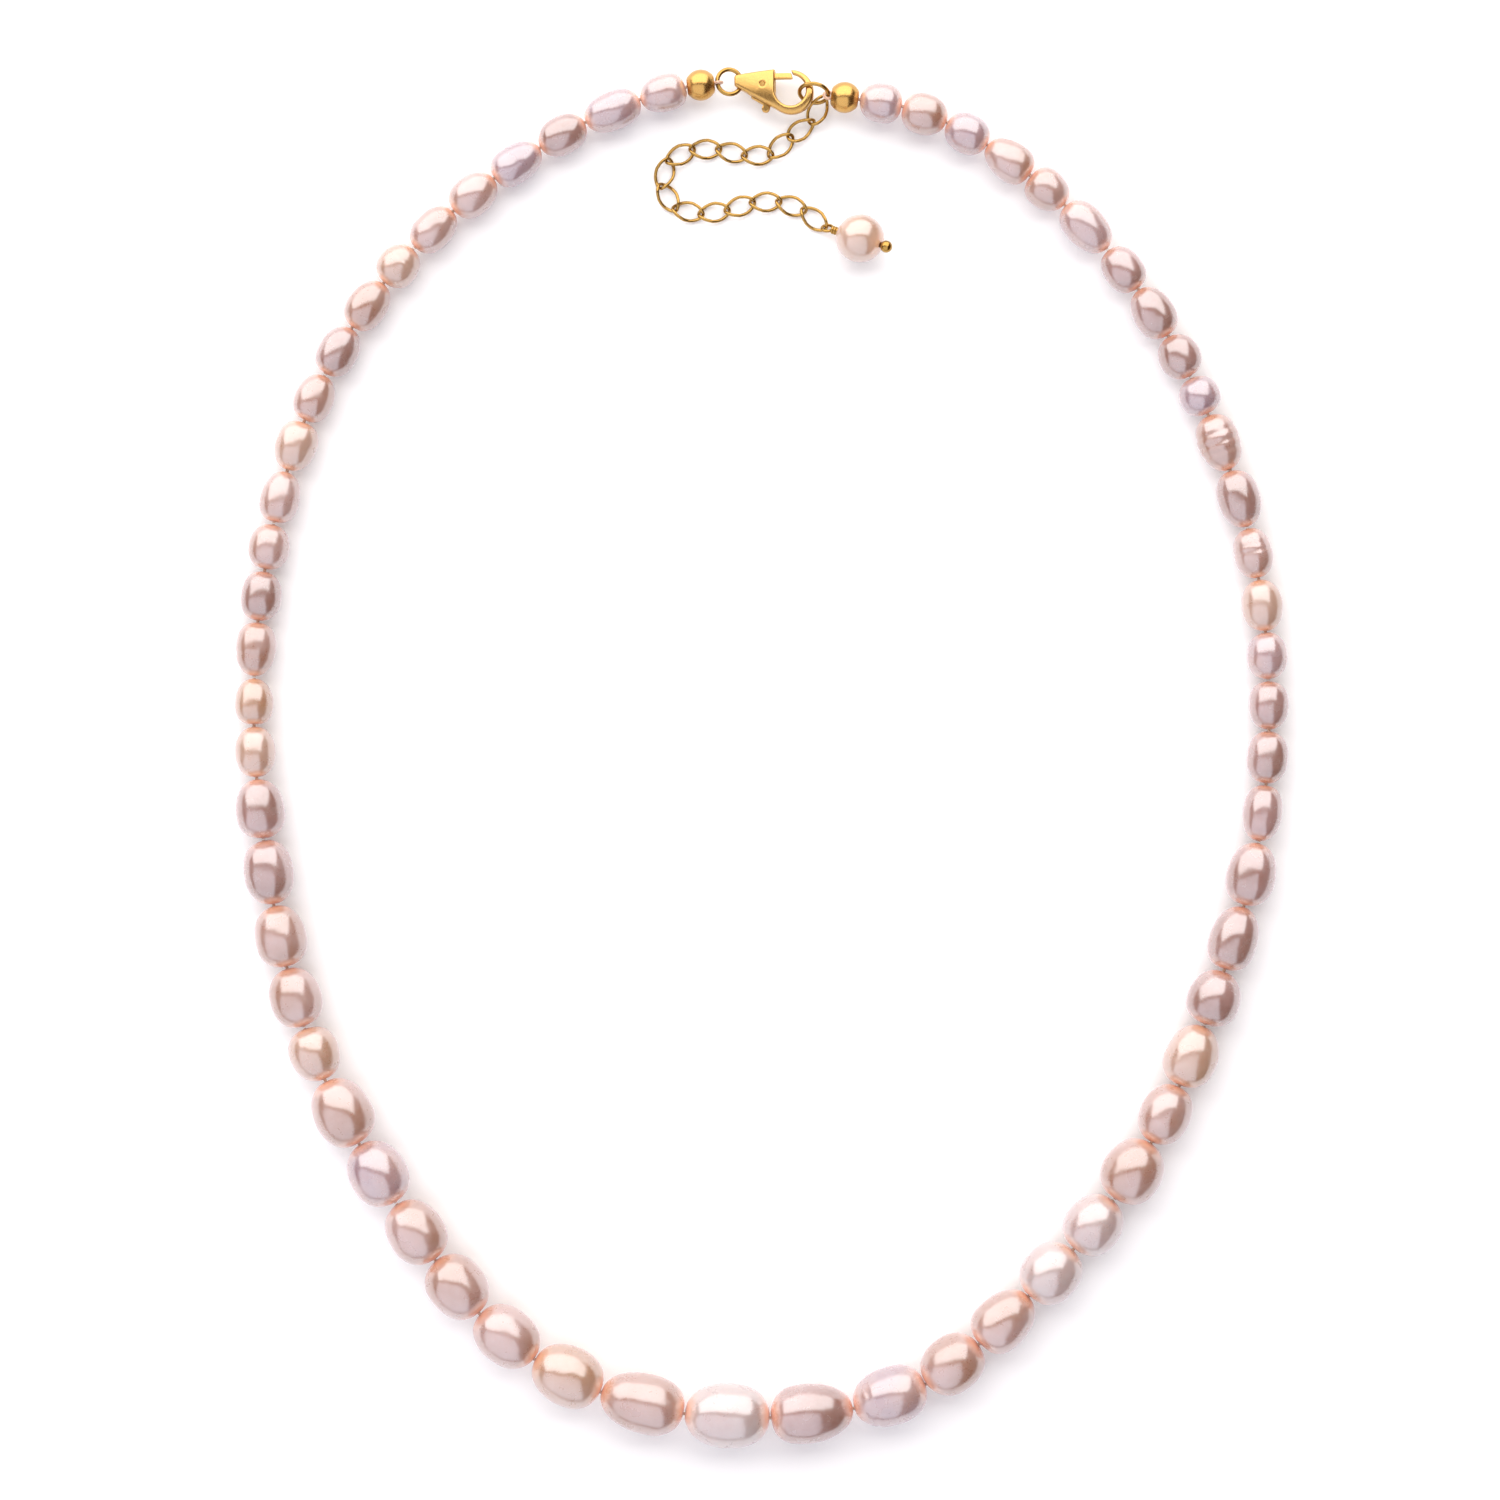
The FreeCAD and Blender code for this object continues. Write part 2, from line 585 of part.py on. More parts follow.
def clasp_nodes():
    """The clasp's four pieces, in place."""
    pin_length = CLASP_BODY_T - 0.1
    nodes = {
        "clasp_body": clasp_body(),
        "clasp_lever": clasp_lever(),
        "clasp_pin": disc(PIN_X, PIN_Y, PIN_R, pin_length),
        "clasp_spring": clasp_spring(),
    }
    for shape in nodes.values():
        shape.Placement = clasp_frame().multiply(shape.Placement)
    return nodes


# ---------------------------------------------------------------- extender chain
def link_pitch():
    return 2 * (LINK_HALF - LINK_WIRE_R) - LINK_PLAY


def link():
    """Twisted oval link of round wire: two alike halves, each half a turn from the other."""
    points = []
    for step in range(13):
        angle = math.radians(-90 + 15 * step)
        twist = math.radians(LINK_TWIST) * math.cos(angle)
        width = LINK_HALF_WIDTH * math.sin(angle)
        points.append(Vector(LINK_HALF * math.cos(angle), width * math.cos(twist),
                             width * math.sin(twist)))
    lean = -LINK_HALF_WIDTH * math.radians(LINK_TWIST)
    spine = Part.BSplineCurve()
    spine.interpolate(Points=points, InitialTangent=Vector(LINK_HALF, 0, lean),
                      FinalTangent=Vector(-LINK_HALF, 0, lean))
    section = Part.Wire(Part.makeCircle(LINK_WIRE_R, points[0], Vector(LINK_HALF, 0, lean)))
    half = Part.Wire(spine.toShape()).makePipeShell([section], True, False)
    return half.fuse(half.rotated(ORIGIN, UP, 180))


def chain_start():
    """The point between the extender ring's wire and the first link's."""
    hang = extender_ring_frame().multVec(turned(Vector(EXTENDER_RING_R, 0, 0), HANG_ANGLE))
    wrap = EXTENDER_WIRE_R + LINK_WIRE_R + HANG_PLAY
    back = wrap - (2 * LINK_WIRE_R + LINK_PLAY) / 2
    return hang - heading(CHAIN_HEADINGS[0]) * back


def chain_points():
    """The points where the links hold each other, from the extender ring to the head pin."""
    points = [chain_start()]
    flat = [CHAIN_HEIGHT] * (len(CHAIN_HEADINGS) - len(LEANING_HEIGHTS))
    for angle, height in zip(CHAIN_HEADINGS, LEANING_HEIGHTS + flat):
        rise = height - points[-1].z
        run = math.sqrt(link_pitch() ** 2 - rise ** 2)
        points.append(points[-1] + heading(angle) * run + UP * rise)
    return points


CHAIN_POINTS = chain_points()


def chain_nodes():
    pattern = link()
    nodes = {}
    rolls = LEANING_ROLLS + [0.0] * (len(CHAIN_HEADINGS) - len(LEANING_ROLLS))
    ends = zip(CHAIN_POINTS, CHAIN_POINTS[1:], rolls)
    for number, (a, b, roll) in enumerate(ends, start=1):
        placed = pattern.copy()
        placed.Placement = frame_at((a + b) / 2, b - a, roll)
        nodes[f"chain_link_{number:02d}"] = placed
    return nodes


# ---------------------------------------------------------------- drop
def wrap_pitch():
    return 1.9 * HEAD_WIRE_R


def drop_reach():
    """Distance along the head pin from the last link's hold to the drop pearl's centre."""
    loop_end = 2 * HEAD_LOOP_R - LINK_WIRE_R
    wraps = WRAP_TURNS * wrap_pitch()
    return loop_end + wraps + DROP_GAP + DROP_R


def drop_frame():
    """Frame at the last link's hold, X along the head pin, which slopes up into the pearl."""
    slope = math.degrees(math.asin((DROP_R - CHAIN_HEIGHT) / drop_reach()))
    level = heading(DROP_HEADING)
    return frame_at(CHAIN_POINTS[-1], turned(level, -slope, UP.cross(level)))


def head_pin():
    """Ball-headed pin through the drop pearl, its far end a loop wrapped round its own neck."""
    loop_x = HEAD_LOOP_R - LINK_WIRE_R
    wraps_x = loop_x + HEAD_LOOP_R
    centre_x = drop_reach()
    ball_x = centre_x + DROP_R + DROP_GAP + math.sqrt(HEAD_BALL_R ** 2 - DROP_HOLE_R ** 2)
    pieces = [rod(Vector(wraps_x, 0, 0), Vector(ball_x, 0, 0), HEAD_WIRE_R),
              Part.makeSphere(HEAD_BALL_R, Vector(ball_x, 0, 0))]
    loop = wire_ring(HEAD_LOOP_R, HEAD_WIRE_R)
    loop.translate(Vector(loop_x, 0, 0))
    loop.rotate(ORIGIN, Vector(1, 0, 0), HEAD_LOOP_ROLL)
    pieces.append(loop)
    for number in range(WRAP_TURNS):
        turn = wire_ring(1.9 * HEAD_WIRE_R, HEAD_WIRE_R)
        turn.rotate(ORIGIN, Vector(0, 1, 0), 90)
        turn.translate(Vector(wraps_x + (number + 0.5) * wrap_pitch(), 0, 0))
        pieces.append(turn)
    return fused(pieces)


def drop_pearl():
    centre = Vector(drop_reach(), 0, 0)
    along = Vector(2 * DROP_R, 0, 0)
    return Part.makeSphere(DROP_R, centre).cut(rod(centre - along, centre + along, DROP_HOLE_R))


def drop_nodes():
    nodes = {"head_pin": head_pin(), "drop_pearl": drop_pearl()}
    for shape in nodes.values():
        shape.Placement = drop_frame().multiply(shape.Placement)
    return nodes


# ---------------------------------------------------------------- whole necklace
def necklace_nodes():
    nodes = front_nodes()
    nodes.update(side_nodes("left", LEFT_STRING, LEFT_POINTS))
    nodes.update(side_nodes("right", RIGHT_STRING, RIGHT_POINTS))
    for side, points in (("left", LEFT_POINTS), ("right", RIGHT_POINTS)):
        nodes[f"crimp_cover_{side}"] = cover(points)
        nodes[f"crimp_{side}"] = crimp(points)
    nodes["jump_ring"] = jump_ring()
    nodes["extender_ring"] = extender_ring()
    nodes.update(clasp_nodes())
    nodes.update(chain_nodes())
    nodes.update(drop_nodes())
    return nodes


os.makedirs("parts", exist_ok=True)
for name, shape in necklace_nodes().items():
    shape.exportStep(f"parts/{name}.step")
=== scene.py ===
import bpy
import math
import random
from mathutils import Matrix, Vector


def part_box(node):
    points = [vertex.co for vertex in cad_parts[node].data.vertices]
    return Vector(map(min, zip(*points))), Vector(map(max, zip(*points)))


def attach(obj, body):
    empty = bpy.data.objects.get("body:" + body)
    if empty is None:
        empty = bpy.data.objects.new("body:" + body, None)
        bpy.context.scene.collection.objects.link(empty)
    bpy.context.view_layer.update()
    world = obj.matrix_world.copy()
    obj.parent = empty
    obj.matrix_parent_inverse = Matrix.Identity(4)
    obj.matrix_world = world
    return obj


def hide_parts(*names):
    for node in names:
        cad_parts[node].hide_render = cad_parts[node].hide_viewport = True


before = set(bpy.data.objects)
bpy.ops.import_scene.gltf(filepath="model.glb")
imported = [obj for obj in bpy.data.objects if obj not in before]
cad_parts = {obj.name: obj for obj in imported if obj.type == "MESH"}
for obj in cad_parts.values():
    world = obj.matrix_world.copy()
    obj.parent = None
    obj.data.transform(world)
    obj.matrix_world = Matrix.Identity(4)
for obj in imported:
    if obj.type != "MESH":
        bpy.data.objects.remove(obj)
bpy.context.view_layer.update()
MM = 0.001


# ---------------------------------------------------------------- nacre
# The finish that all the pearls share: layers of natural nacre, never dyed. Broad blushes of
# another tone drift over each pearl, and very fine growth lines and pits lie under the lustre.
def new_group(name, inputs, outputs):
    """An empty shader node group with float inputs and the named outputs."""
    group = bpy.data.node_groups.new(name, "ShaderNodeTree")
    for label, default in inputs:
        socket = group.interface.new_socket(label, in_out="INPUT", socket_type="NodeSocketFloat")
        socket.default_value = default
    for label, kind in outputs:
        group.interface.new_socket(label, in_out="OUTPUT", socket_type=kind)
    group.nodes.new("NodeGroupInput")
    group.nodes.new("NodeGroupOutput")
    return group


def noise_node(tree, scale, detail, roughness=0.5):
    """Noise over the place in the object, as a node whose Fac is used."""
    place = tree.nodes.new("ShaderNodeTexCoord")
    cloud = tree.nodes.new("ShaderNodeTexNoise")
    cloud.inputs["Scale"].default_value = scale
    cloud.inputs["Detail"].default_value = detail
    cloud.inputs["Roughness"].default_value = roughness
    tree.links.new(place.outputs["Object"], cloud.inputs["Vector"])
    return cloud


def stretch(tree, source, low, high, to_low=0.0, to_high=1.0):
    """A value rescaled and clamped."""
    spread = tree.nodes.new("ShaderNodeMapRange")
    spread.inputs["From Min"].default_value = low
    spread.inputs["From Max"].default_value = high
    spread.inputs["To Min"].default_value = to_low
    spread.inputs["To Max"].default_value = to_high
    tree.links.new(source, spread.inputs["Value"])
    return spread.outputs["Result"]


def nacre_growth_group():
    group = new_group("nacre growth", [("Blush Scale", 150.0), ("Line Scale", 1500.0)],
                      [("Blush", "NodeSocketFloat"), ("Cloud", "NodeSocketFloat"),
                       ("Relief", "NodeSocketFloat")])
    given = group.nodes["Group Input"]
    result = group.nodes["Group Output"]
    blush = noise_node(group, 1.0, 2.0)
    group.links.new(given.outputs["Blush Scale"], blush.inputs["Scale"])
    group.links.new(stretch(group, blush.outputs["Fac"], 0.38, 0.62), result.inputs["Blush"])
    cloud = noise_node(group, 520.0, 4.0, 0.6)
    group.links.new(stretch(group, cloud.outputs["Fac"], 0.35, 0.68), result.inputs["Cloud"])
    place = group.nodes.new("ShaderNodeTexCoord")
    lines = group.nodes.new("ShaderNodeTexWave")
    lines.inputs["Distortion"].default_value = 9.0
    lines.inputs["Detail"].default_value = 3.0
    lines.inputs["Detail Scale"].default_value = 0.7
    group.links.new(place.outputs["Object"], lines.inputs["Vector"])
    group.links.new(given.outputs["Line Scale"], lines.inputs["Scale"])
    pits = noise_node(group, 2600.0, 2.0)
    relief = group.nodes.new("ShaderNodeMath")
    relief.operation = "MULTIPLY_ADD"
    relief.inputs[1].default_value = 0.1
    group.links.new(lines.outputs["Fac"], relief.inputs[0])
    group.links.new(stretch(group, pits.outputs["Fac"], 0.25, 0.5, 0.0, 0.4), relief.inputs[2])
    group.links.new(relief.outputs["Value"], result.inputs["Relief"])
    return group


NACRE_GROWTH = nacre_growth_group()


def blend_colour(tree, amount, first, second):
    """A mix of two colours, each given as values or as a socket."""
    mix = tree.nodes.new("ShaderNodeMix")
    mix.data_type = "RGBA"
    tree.links.new(amount, mix.inputs["Factor"])
    for side, colour in (("A", first), ("B", second)):
        socket = [s for s in mix.inputs if s.name == side and s.type == "RGBA"][0]
        if isinstance(colour, tuple):
            socket.default_value = (*colour, 1.0)
        else:
            tree.links.new(colour, socket)
    return [s for s in mix.outputs if s.type == "RGBA"][0]


RING_SCALE = 3.2            # fine growth rings, in waves per millimetre along the pearl
RING_HEIGHT = 5.0           # how far they stand out where they show most
MOTTLE = 0.22               # how far the pale mottling covers a pearl's tone
SHINE_SPREAD = 0.08         # how much rougher the dullest patches are


def nacre(name, tone, blush, tip_glow, shine):
    """One nacre colour: its main tone, the tone of its blushes and the tone of the painted glow at
    its tips, which stands in for light reflected from the next pearl.
    """
    material = bpy.data.materials.new(name)
    material.use_nodes = True
    tree = material.node_tree
    surface = tree.nodes["Principled BSDF"]
    growth = tree.nodes.new("ShaderNodeGroup")
    growth.node_tree = NACRE_GROWTH
    clouded = blend_colour(tree, growth.outputs["Blush"], tone, blush)
    pale = tuple(min(1.0, 0.28 + 0.7 * part) for part in tone)
    mottle = stretch(tree, growth.outputs["Cloud"], 0.0, 1.0, 0.0, MOTTLE)
    mottled = blend_colour(tree, mottle, clouded, pale)
    rings = tree.nodes.new("ShaderNodeTexNoise")
    rings.noise_dimensions = "1D"
    rings.inputs["Scale"].default_value = RING_SCALE
    rings.inputs["Detail"].default_value = 3.0
    rings.inputs["Roughness"].default_value = 0.7
    place = tree.nodes.new("ShaderNodeAttribute")
    place.attribute_name = "along"
    tree.links.new(place.outputs["Fac"], rings.inputs["W"])
    # Painted glow: towards each drill hole the colour is mixed to a warmer tone, standing in for
    # light reflected from the next pearl.
    tip_glow_amount = tree.nodes.new("ShaderNodeAttribute")
    tip_glow_amount.attribute_name = "tip_glow"
    with_tip_glow = blend_colour(tree, tip_glow_amount.outputs["Fac"], mottled, tip_glow)
    tree.links.new(with_tip_glow, surface.inputs["Base Color"])
    rough = stretch(tree, growth.outputs["Cloud"], 0.0, 1.0, shine, shine + SHINE_SPREAD)
    tree.links.new(rough, surface.inputs["Roughness"])
    ridges = tree.nodes.new("ShaderNodeMath")
    ridges.operation = "MULTIPLY_ADD"
    tree.links.new(rings.outputs["Fac"], ridges.inputs[0])
    tree.links.new(stretch(tree, growth.outputs["Blush"], 0.2, 1.0, 0.1, RING_HEIGHT),
                   ridges.inputs[1])
    tree.links.new(growth.outputs["Relief"], ridges.inputs[2])
    relief = tree.nodes.new("ShaderNodeBump")
    relief.inputs["Strength"].default_value = 0.15
    relief.inputs["Distance"].default_value = 0.02 * MM
    tree.links.new(ridges.outputs["Value"], relief.inputs["Height"])
    tree.links.new(relief.outputs["Normal"], surface.inputs["Normal"])
    surface.inputs["IOR"].default_value = 2.0
    surface.inputs["Specular Tint"].default_value = (0.92, 0.94, 1.0, 1.0)
    surface.inputs["Coat Weight"].default_value = 1.0
    surface.inputs["Coat Roughness"].default_value = 0.2
    surface.inputs["Coat IOR"].default_value = 2.1
    surface.inputs["Sheen Weight"].default_value = 0.35
    surface.inputs["Sheen Roughness"].default_value = 0.35
    surface.inputs["Sheen Tint"].default_value = (0.95, 0.72, 0.88, 1.0)
    surface.inputs["Subsurface Weight"].default_value = 0.2
    surface.inputs["Subsurface Radius"].default_value = (1.0, 0.5, 0.35)
    surface.inputs["Subsurface Scale"].default_value = 0.9 * MM
    return material


# The third colour of each is the tone of the painted glow at its tips, standing in for light
# reflected from the next pearl.
ROSE = nacre("rose_nacre", (0.34, 0.165, 0.11), (0.43, 0.26, 0.23), (0.88, 0.44, 0.26), 0.26)
PEACH = nacre("peach_nacre", (0.40, 0.21, 0.12), (0.46, 0.28, 0.21), (0.90, 0.47, 0.26), 0.26)
LILAC = nacre("lilac_nacre", (0.33, 0.21, 0.235), (0.42, 0.25, 0.22), (0.90, 0.50, 0.34), 0.24)
IVORY = nacre("ivory_nacre", (0.45, 0.35, 0.33), (0.43, 0.29, 0.27), (0.94, 0.56, 0.38), 0.26)
MAUVE = nacre("mauve_nacre", (0.27, 0.13, 0.10), (0.36, 0.20, 0.18), (0.82, 0.40, 0.24), 0.22)
DROP_NACRE = nacre("drop_nacre", (0.44, 0.25, 0.15), (0.52, 0.33, 0.24), (0.86, 0.50, 0.32), 0.3)


# ---------------------------------------------------------------- strand pearls
# Sixty freshwater pearls, grown without a bead, so no two are quite alike: long ovals and
# rounded barrels, some with growth rings. Each is drilled from tip to tip along its length.
PEARL_SEGMENTS = 56
PEARL_RINGS = 40
TIP_GLOW_STRENGTH = 0.9            # how far the painted glow covers the pearl at the drill hole
TIP_GLOW_SHARE = 0.34            # the part of each half that has the painted glow
TIP_GLOW_FADE = 1.5              # how late that painted glow sets in
RING_SHIFT = 31             # sets each pearl's growth rings apart from the next pearl's
LUMP_SIZE = 2.6 * MM        # how wide the gentle lumps of a pearl are
LUMP_HEIGHT = 0.16 * MM
LUMP_LEVEL = 0.62           # the share of the lumps' height that lies inside the pearl
SOFTENING = 8               # rounds of softening, before the lumps
TIP_GROWTH = 0.025 * MM     # the nacre built up at each tip, almost to the next pearl
TIP_WEAR = -0.035 * MM      # the same on a pearl beside a fold, which needs room to turn
POLE_SHARE = 0.9999         # past this share of its half length lies a ball's pole
RING_FADE = 1.5 * MM        # nearer the hole than this, a growth ring fades out
HOLE_EDGE = math.radians(50)


def only(*objects):
    """Selects these objects and nothing else, the first of them active."""
    bpy.ops.object.select_all(action="DESELECT")
    for item in objects:
        item.select_set(True)
    bpy.context.view_layer.objects.active = objects[0]


def solids_of(node):
    """Merged copies of the separate solids in a node, as plain objects."""
    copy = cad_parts[node].copy()
    copy.data = copy.data.copy()
    copy.parent = None
    for key in list(copy.keys()):
        del copy[key]
    bpy.context.scene.collection.objects.link(copy)
    only(copy)
    bpy.ops.object.mode_set(mode="EDIT")
    bpy.ops.mesh.select_all(action="SELECT")
    bpy.ops.mesh.remove_doubles(threshold=0.001 * MM)
    bpy.ops.mesh.separate(type="LOOSE")
    bpy.ops.object.mode_set(mode="OBJECT")
    return list(bpy.context.selected_objects)


def average(points):
    return sum(points, Vector()) / len(points)


def drill_mouths(solid):
    """The middles of the two mouths of the hole through a solid."""
    mesh = solid.data
    middle = average([v.co for v in mesh.vertices])
    wall = {i for face in mesh.polygons
            if face.normal.dot(face.center - middle) < 0 for i in face.vertices}
    points = [mesh.vertices[i].co for i in wall]
    first = points[0]
    along = max(points, key=lambda p: (p - first).length) - first
    half = along.length_squared / 2
    near = [p for p in points if (p - first).dot(along) < half]
    far = [p for p in points if (p - first).dot(along) >= half]
    return average(near), average(far)


def use_modifier(piece, kind, **settings):
    """Adds a modifier with these settings and applies it."""
    only(piece)
    modifier = piece.modifiers.new(kind.lower(), kind)
    for key, value in settings.items():
        setattr(modifier, key, value)
    bpy.ops.object.modifier_apply(modifier=modifier.name)


LUMPS = bpy.data.textures.new("pearl_lumps", "CLOUDS")
LUMPS.noise_scale = LUMP_SIZE
LUMPS.noise_depth = 1


def grown_pearl(name, solid, growth):
    """A pearl grown to the size and place of a solid, with its drill hole open from end to end."""
    start, end = drill_mouths(solid)
    along = end - start
    middle = (start + end) / 2
    axis = along.normalized()
    girth = max((v.co - middle - axis * (v.co - middle).dot(axis)).length
                for v in solid.data.vertices)
    turn = axis.to_track_quat("Z", "Y").to_euler()
    bpy.ops.mesh.primitive_uv_sphere_add(segments=PEARL_SEGMENTS, ring_count=PEARL_RINGS,
                                         radius=1, location=middle, rotation=turn,
                                         scale=(girth, girth, along.length / 2))
    pearl = bpy.context.active_object
    pearl.name = name
    pearl.data.name = name
    bpy.ops.object.transform_apply(location=True, rotation=True, scale=True)
    reach = along.length / 2
    bpy.ops.object.mode_set(mode="EDIT")
    bpy.ops.mesh.select_mode(type="VERT")
    bpy.ops.mesh.select_all(action="DESELECT")
    bpy.ops.object.mode_set(mode="OBJECT")
    for vertex in pearl.data.vertices:
        vertex.select = abs((vertex.co - middle).dot(axis)) > reach * POLE_SHARE
    bpy.ops.object.mode_set(mode="EDIT")
    bpy.ops.mesh.delete(type="VERT")
    bpy.ops.object.mode_set(mode="OBJECT")
    use_modifier(pearl, "SHRINKWRAP", target=solid, wrap_method="NEAREST_SURFACEPOINT")
    use_modifier(pearl, "SMOOTH", factor=0.5, iterations=SOFTENING)
    for vertex in pearl.data.vertices:
        vertex.co += axis * ((vertex.co - middle).dot(axis) / reach) * growth
    use_modifier(pearl, "DISPLACE", texture=LUMPS, texture_coords="LOCAL", strength=LUMP_HEIGHT,
                 mid_level=LUMP_LEVEL)
    return pearl, middle, axis, reach


def growth_ring(pearl, middle, axis, place, width, depth):
    """Presses a ring round the pearl, or raises one where the depth is negative."""
    for vertex in pearl.data.vertices:
        offset = vertex.co - middle
        along = offset.dot(axis)
        out = offset - axis * along
        share = math.exp(-((along - place) / width) ** 2)
        vertex.co -= out.normalized() * depth * share * min(1.0, out.length / RING_FADE)


def paint_tip_glow(pearl, middle, axis, reach):
    """Stores each point's place along the pearl in millimetres, and how near to a tip it is,
    which sets the painted glow there, standing in for light reflected from the next pearl."""
    places = pearl.data.attributes.new("along", "FLOAT", "POINT")
    tip_glow_amount = pearl.data.attributes.new("tip_glow", "FLOAT", "POINT")
    shift = RING_SHIFT * middle.x / MM
    for vertex in pearl.data.vertices:
        along = (vertex.co - middle).dot(axis)
        places.data[vertex.index].value = along / MM + shift
        share = (abs(along) / reach - 1 + TIP_GLOW_SHARE) / TIP_GLOW_SHARE
        # painted glow, strongest at the drill hole
        tip_glow_amount.data[vertex.index].value = TIP_GLOW_STRENGTH * max(0.0, share) ** TIP_GLOW_FADE


def bore_through(pearl):
    """Joins the open mouths at the two tips with the drill hole's wall."""
    only(pearl)
    bpy.ops.object.mode_set(mode="EDIT")
    bpy.ops.mesh.select_mode(type="EDGE")
    bpy.ops.mesh.select_all(action="DESELECT")
    bpy.ops.mesh.select_non_manifold(use_wire=False, use_multi_face=False,
                                     use_non_contiguous=False, use_verts=False)
    bpy.ops.mesh.bridge_edge_loops()
    bpy.ops.mesh.select_all(action="SELECT")
    bpy.ops.mesh.normals_make_consistent(inside=False)
    bpy.ops.object.mode_set(mode="OBJECT")
    bpy.ops.object.shade_smooth_by_angle(angle=HOLE_EDGE)


RUNS = {"pearls_front": "front"}
for side in ("left", "right"):
    for number in range(1, 8):
        RUNS[f"pearls_{side}_{number}"] = f"{side}_{number}"

blanks = []
for node, body in RUNS.items():
    for solid in solids_of(node):
        spot = average([v.co for v in solid.data.vertices])
        blanks.append((math.atan2(spot.x, -spot.y), solid, node, body))
left_blanks = sorted([b for b in blanks if b[0] < 0], key=lambda b: -b[0])
right_blanks = sorted([b for b in blanks if b[0] >= 0], key=lambda b: b[0])

# Rings and grooves that stand out: place along the pearl in halves, width and depth in mm.
RINGED = {
    "pearl_right_02": [(-0.55, 0.16, 0.10), (-0.40, 0.12, -0.05)],
    "pearl_left_02": [(0.35, 0.2, 0.05)],
    "pearl_right_18": [(0.1, 0.2, 0.08), (0.35, 0.15, 0.06)],
    "pearl_right_20": [(-0.35, 0.22, 0.10), (0.0, 0.22, 0.11), (0.35, 0.22, 0.10)],
    "pearl_left_16": [(0.2, 0.18, 0.07)],
    "pearl_left_24": [(-0.3, 0.2, 0.06)],
}
FRONT_TONES = [ROSE, ROSE, ROSE, PEACH, PEACH, LILAC, LILAC, IVORY]
SIDE_TONES = [ROSE, ROSE, ROSE, PEACH, LILAC, MAUVE, MAUVE, MAUVE]
FRONT_COUNT = 8             # pearls a side, from the middle, that are picked from the paler ones
OWN_TONE = {
    "pearl_left_01": IVORY, "pearl_left_02": ROSE, "pearl_left_03": PEACH,
    "pearl_right_01": MAUVE, "pearl_right_02": LILAC, "pearl_right_03": ROSE,
    "pearl_right_04": ROSE, "pearl_right_05": IVORY, "pearl_right_06": IVORY,
    "pearl_left_14": PEACH, "pearl_left_15": PEACH,
    "pearl_right_19": MAUVE, "pearl_left_30": LILAC, "pearl_left_29": LILAC,
    "pearl_right_30": LILAC, "pearl_right_29": ROSE, "pearl_right_28": LILAC,
}
chance = random.Random(7)
standing_for = {}
for side, group in (("left", left_blanks), ("right", right_blanks)):
    for number, (_, solid, node, body) in enumerate(group, start=1):
        name = f"pearl_{side}_{number:02d}"
        tones = FRONT_TONES if number <= FRONT_COUNT else SIDE_TONES
        beside = {piece[3] for piece in group[max(0, number - 2):number + 1]}
        growth = TIP_GROWTH if beside == {body} else TIP_WEAR
        pearl, middle, axis, reach = grown_pearl(name, solid, growth)
        for place, width, depth in RINGED.get(name, []):
            growth_ring(pearl, middle, axis, place * reach, width * MM, depth * MM)
        paint_tip_glow(pearl, middle, axis, reach)
        bore_through(pearl)
        pearl.data.materials.clear()
        pearl.data.materials.append(OWN_TONE.get(name, chance.choice(tones)))
        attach(pearl, body)
        standing_for.setdefault(node, []).append(pearl)
        bpy.data.objects.remove(solid)
for node, pearls in standing_for.items():
    for pearl in pearls:
        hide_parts(node)


# ---------------------------------------------------------------- drop pearl
# One nearly round pearl of the same kind, softer in lustre, on the head pin at the chain's end.
solid = solids_of("drop_pearl")[0]
drop, middle, axis, reach = grown_pearl("drop_pearl_round", solid, 0.0)
paint_tip_glow(drop, middle, axis, reach)
bore_through(drop)
drop.data.materials.clear()
drop.data.materials.append(DROP_NACRE)
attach(drop, "drop_pearl")
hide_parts("drop_pearl")
bpy.data.objects.remove(solid)


# ---------------------------------------------------------------- gold finish
# Gold-coloured metal, tumbled and polished: almost a mirror, with hair-fine scratches and
# shallow waves left by the polishing. The crimps, the pin and all the wire wear it as built.
def polish_group():
    group = new_group("polish marks", [("Wave Scale", 700.0)],
                      [("Wear", "NodeSocketFloat"), ("Relief", "NodeSocketFloat")])
    given = group.nodes["Group Input"]
    result = group.nodes["Group Output"]
    waves = noise_node(group, 1.0, 2.0)
    group.links.new(given.outputs["Wave Scale"], waves.inputs["Scale"])
    scratches = noise_node(group, 9000.0, 3.0, 0.65)
    group.links.new(stretch(group, scratches.outputs["Fac"], 0.42, 0.7), result.inputs["Wear"])
    relief = group.nodes.new("ShaderNodeMath")
    relief.operation = "MULTIPLY_ADD"
    relief.inputs[1].default_value = 0.12
    group.links.new(scratches.outputs["Fac"], relief.inputs[0])
    group.links.new(waves.outputs["Fac"], relief.inputs[2])
    group.links.new(relief.outputs["Value"], result.inputs["Relief"])
    return group


POLISH = polish_group()


SCRATCH_SPREAD = 0.1        # how much rougher the metal is where it is scratched
SCRATCH_DULLING = 0.86      # how much of its colour is left there


